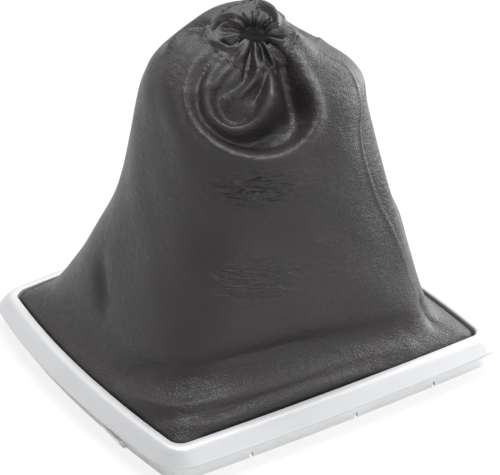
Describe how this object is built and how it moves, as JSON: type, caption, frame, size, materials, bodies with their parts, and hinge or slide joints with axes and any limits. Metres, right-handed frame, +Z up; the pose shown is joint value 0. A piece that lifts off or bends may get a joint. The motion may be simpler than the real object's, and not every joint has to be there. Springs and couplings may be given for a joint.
{
  "type": "gear lever gaiter",
  "caption": "Gathered leather sleeve with an elasticated neck, held in a clip-in rectangular surround with a silver trim.",
  "frame": {"origin": "middle of the surround in plan, on the plane of the skirt's lower edge, on which the part rests", "axes": "+Z up through the neck, +X along the surround's long side towards its right, -Y towards its front, where the skirt has its notches"},
  "size_m": [0.15, 0.141, 0.1241],
  "materials": {
    "silver_trim": "satin silver paint on moulded plastic",
    "frame_plastic": "plain light grey moulded plastic",
    "leather": "soft pebbled leather with a low sheen",
    "elastic": "dull covered elastic",
    "staple_steel": "bright wire"
  },
  "bodies": {
    "root": {"trim_bezel": "silver_trim", "carrier_frame": "frame_plastic", "leather_gaiter": "leather", "neck_elastic": "elastic", "hem_staple_01": "staple_steel", "hem_staple_02": "staple_steel", "hem_staple_03": "staple_steel", "hem_staple_04": "staple_steel", "hem_staple_05": "staple_steel", "hem_staple_06": "staple_steel", "hem_staple_07": "staple_steel", "hem_staple_08": "staple_steel", "hem_staple_09": "staple_steel", "hem_staple_10": "staple_steel", "hem_staple_11": "staple_steel", "hem_staple_12": "staple_steel", "hem_staple_13": "staple_steel", "hem_staple_14": "staple_steel", "hem_staple_15": "staple_steel", "hem_staple_16": "staple_steel"}
  },
  "joints": []
}
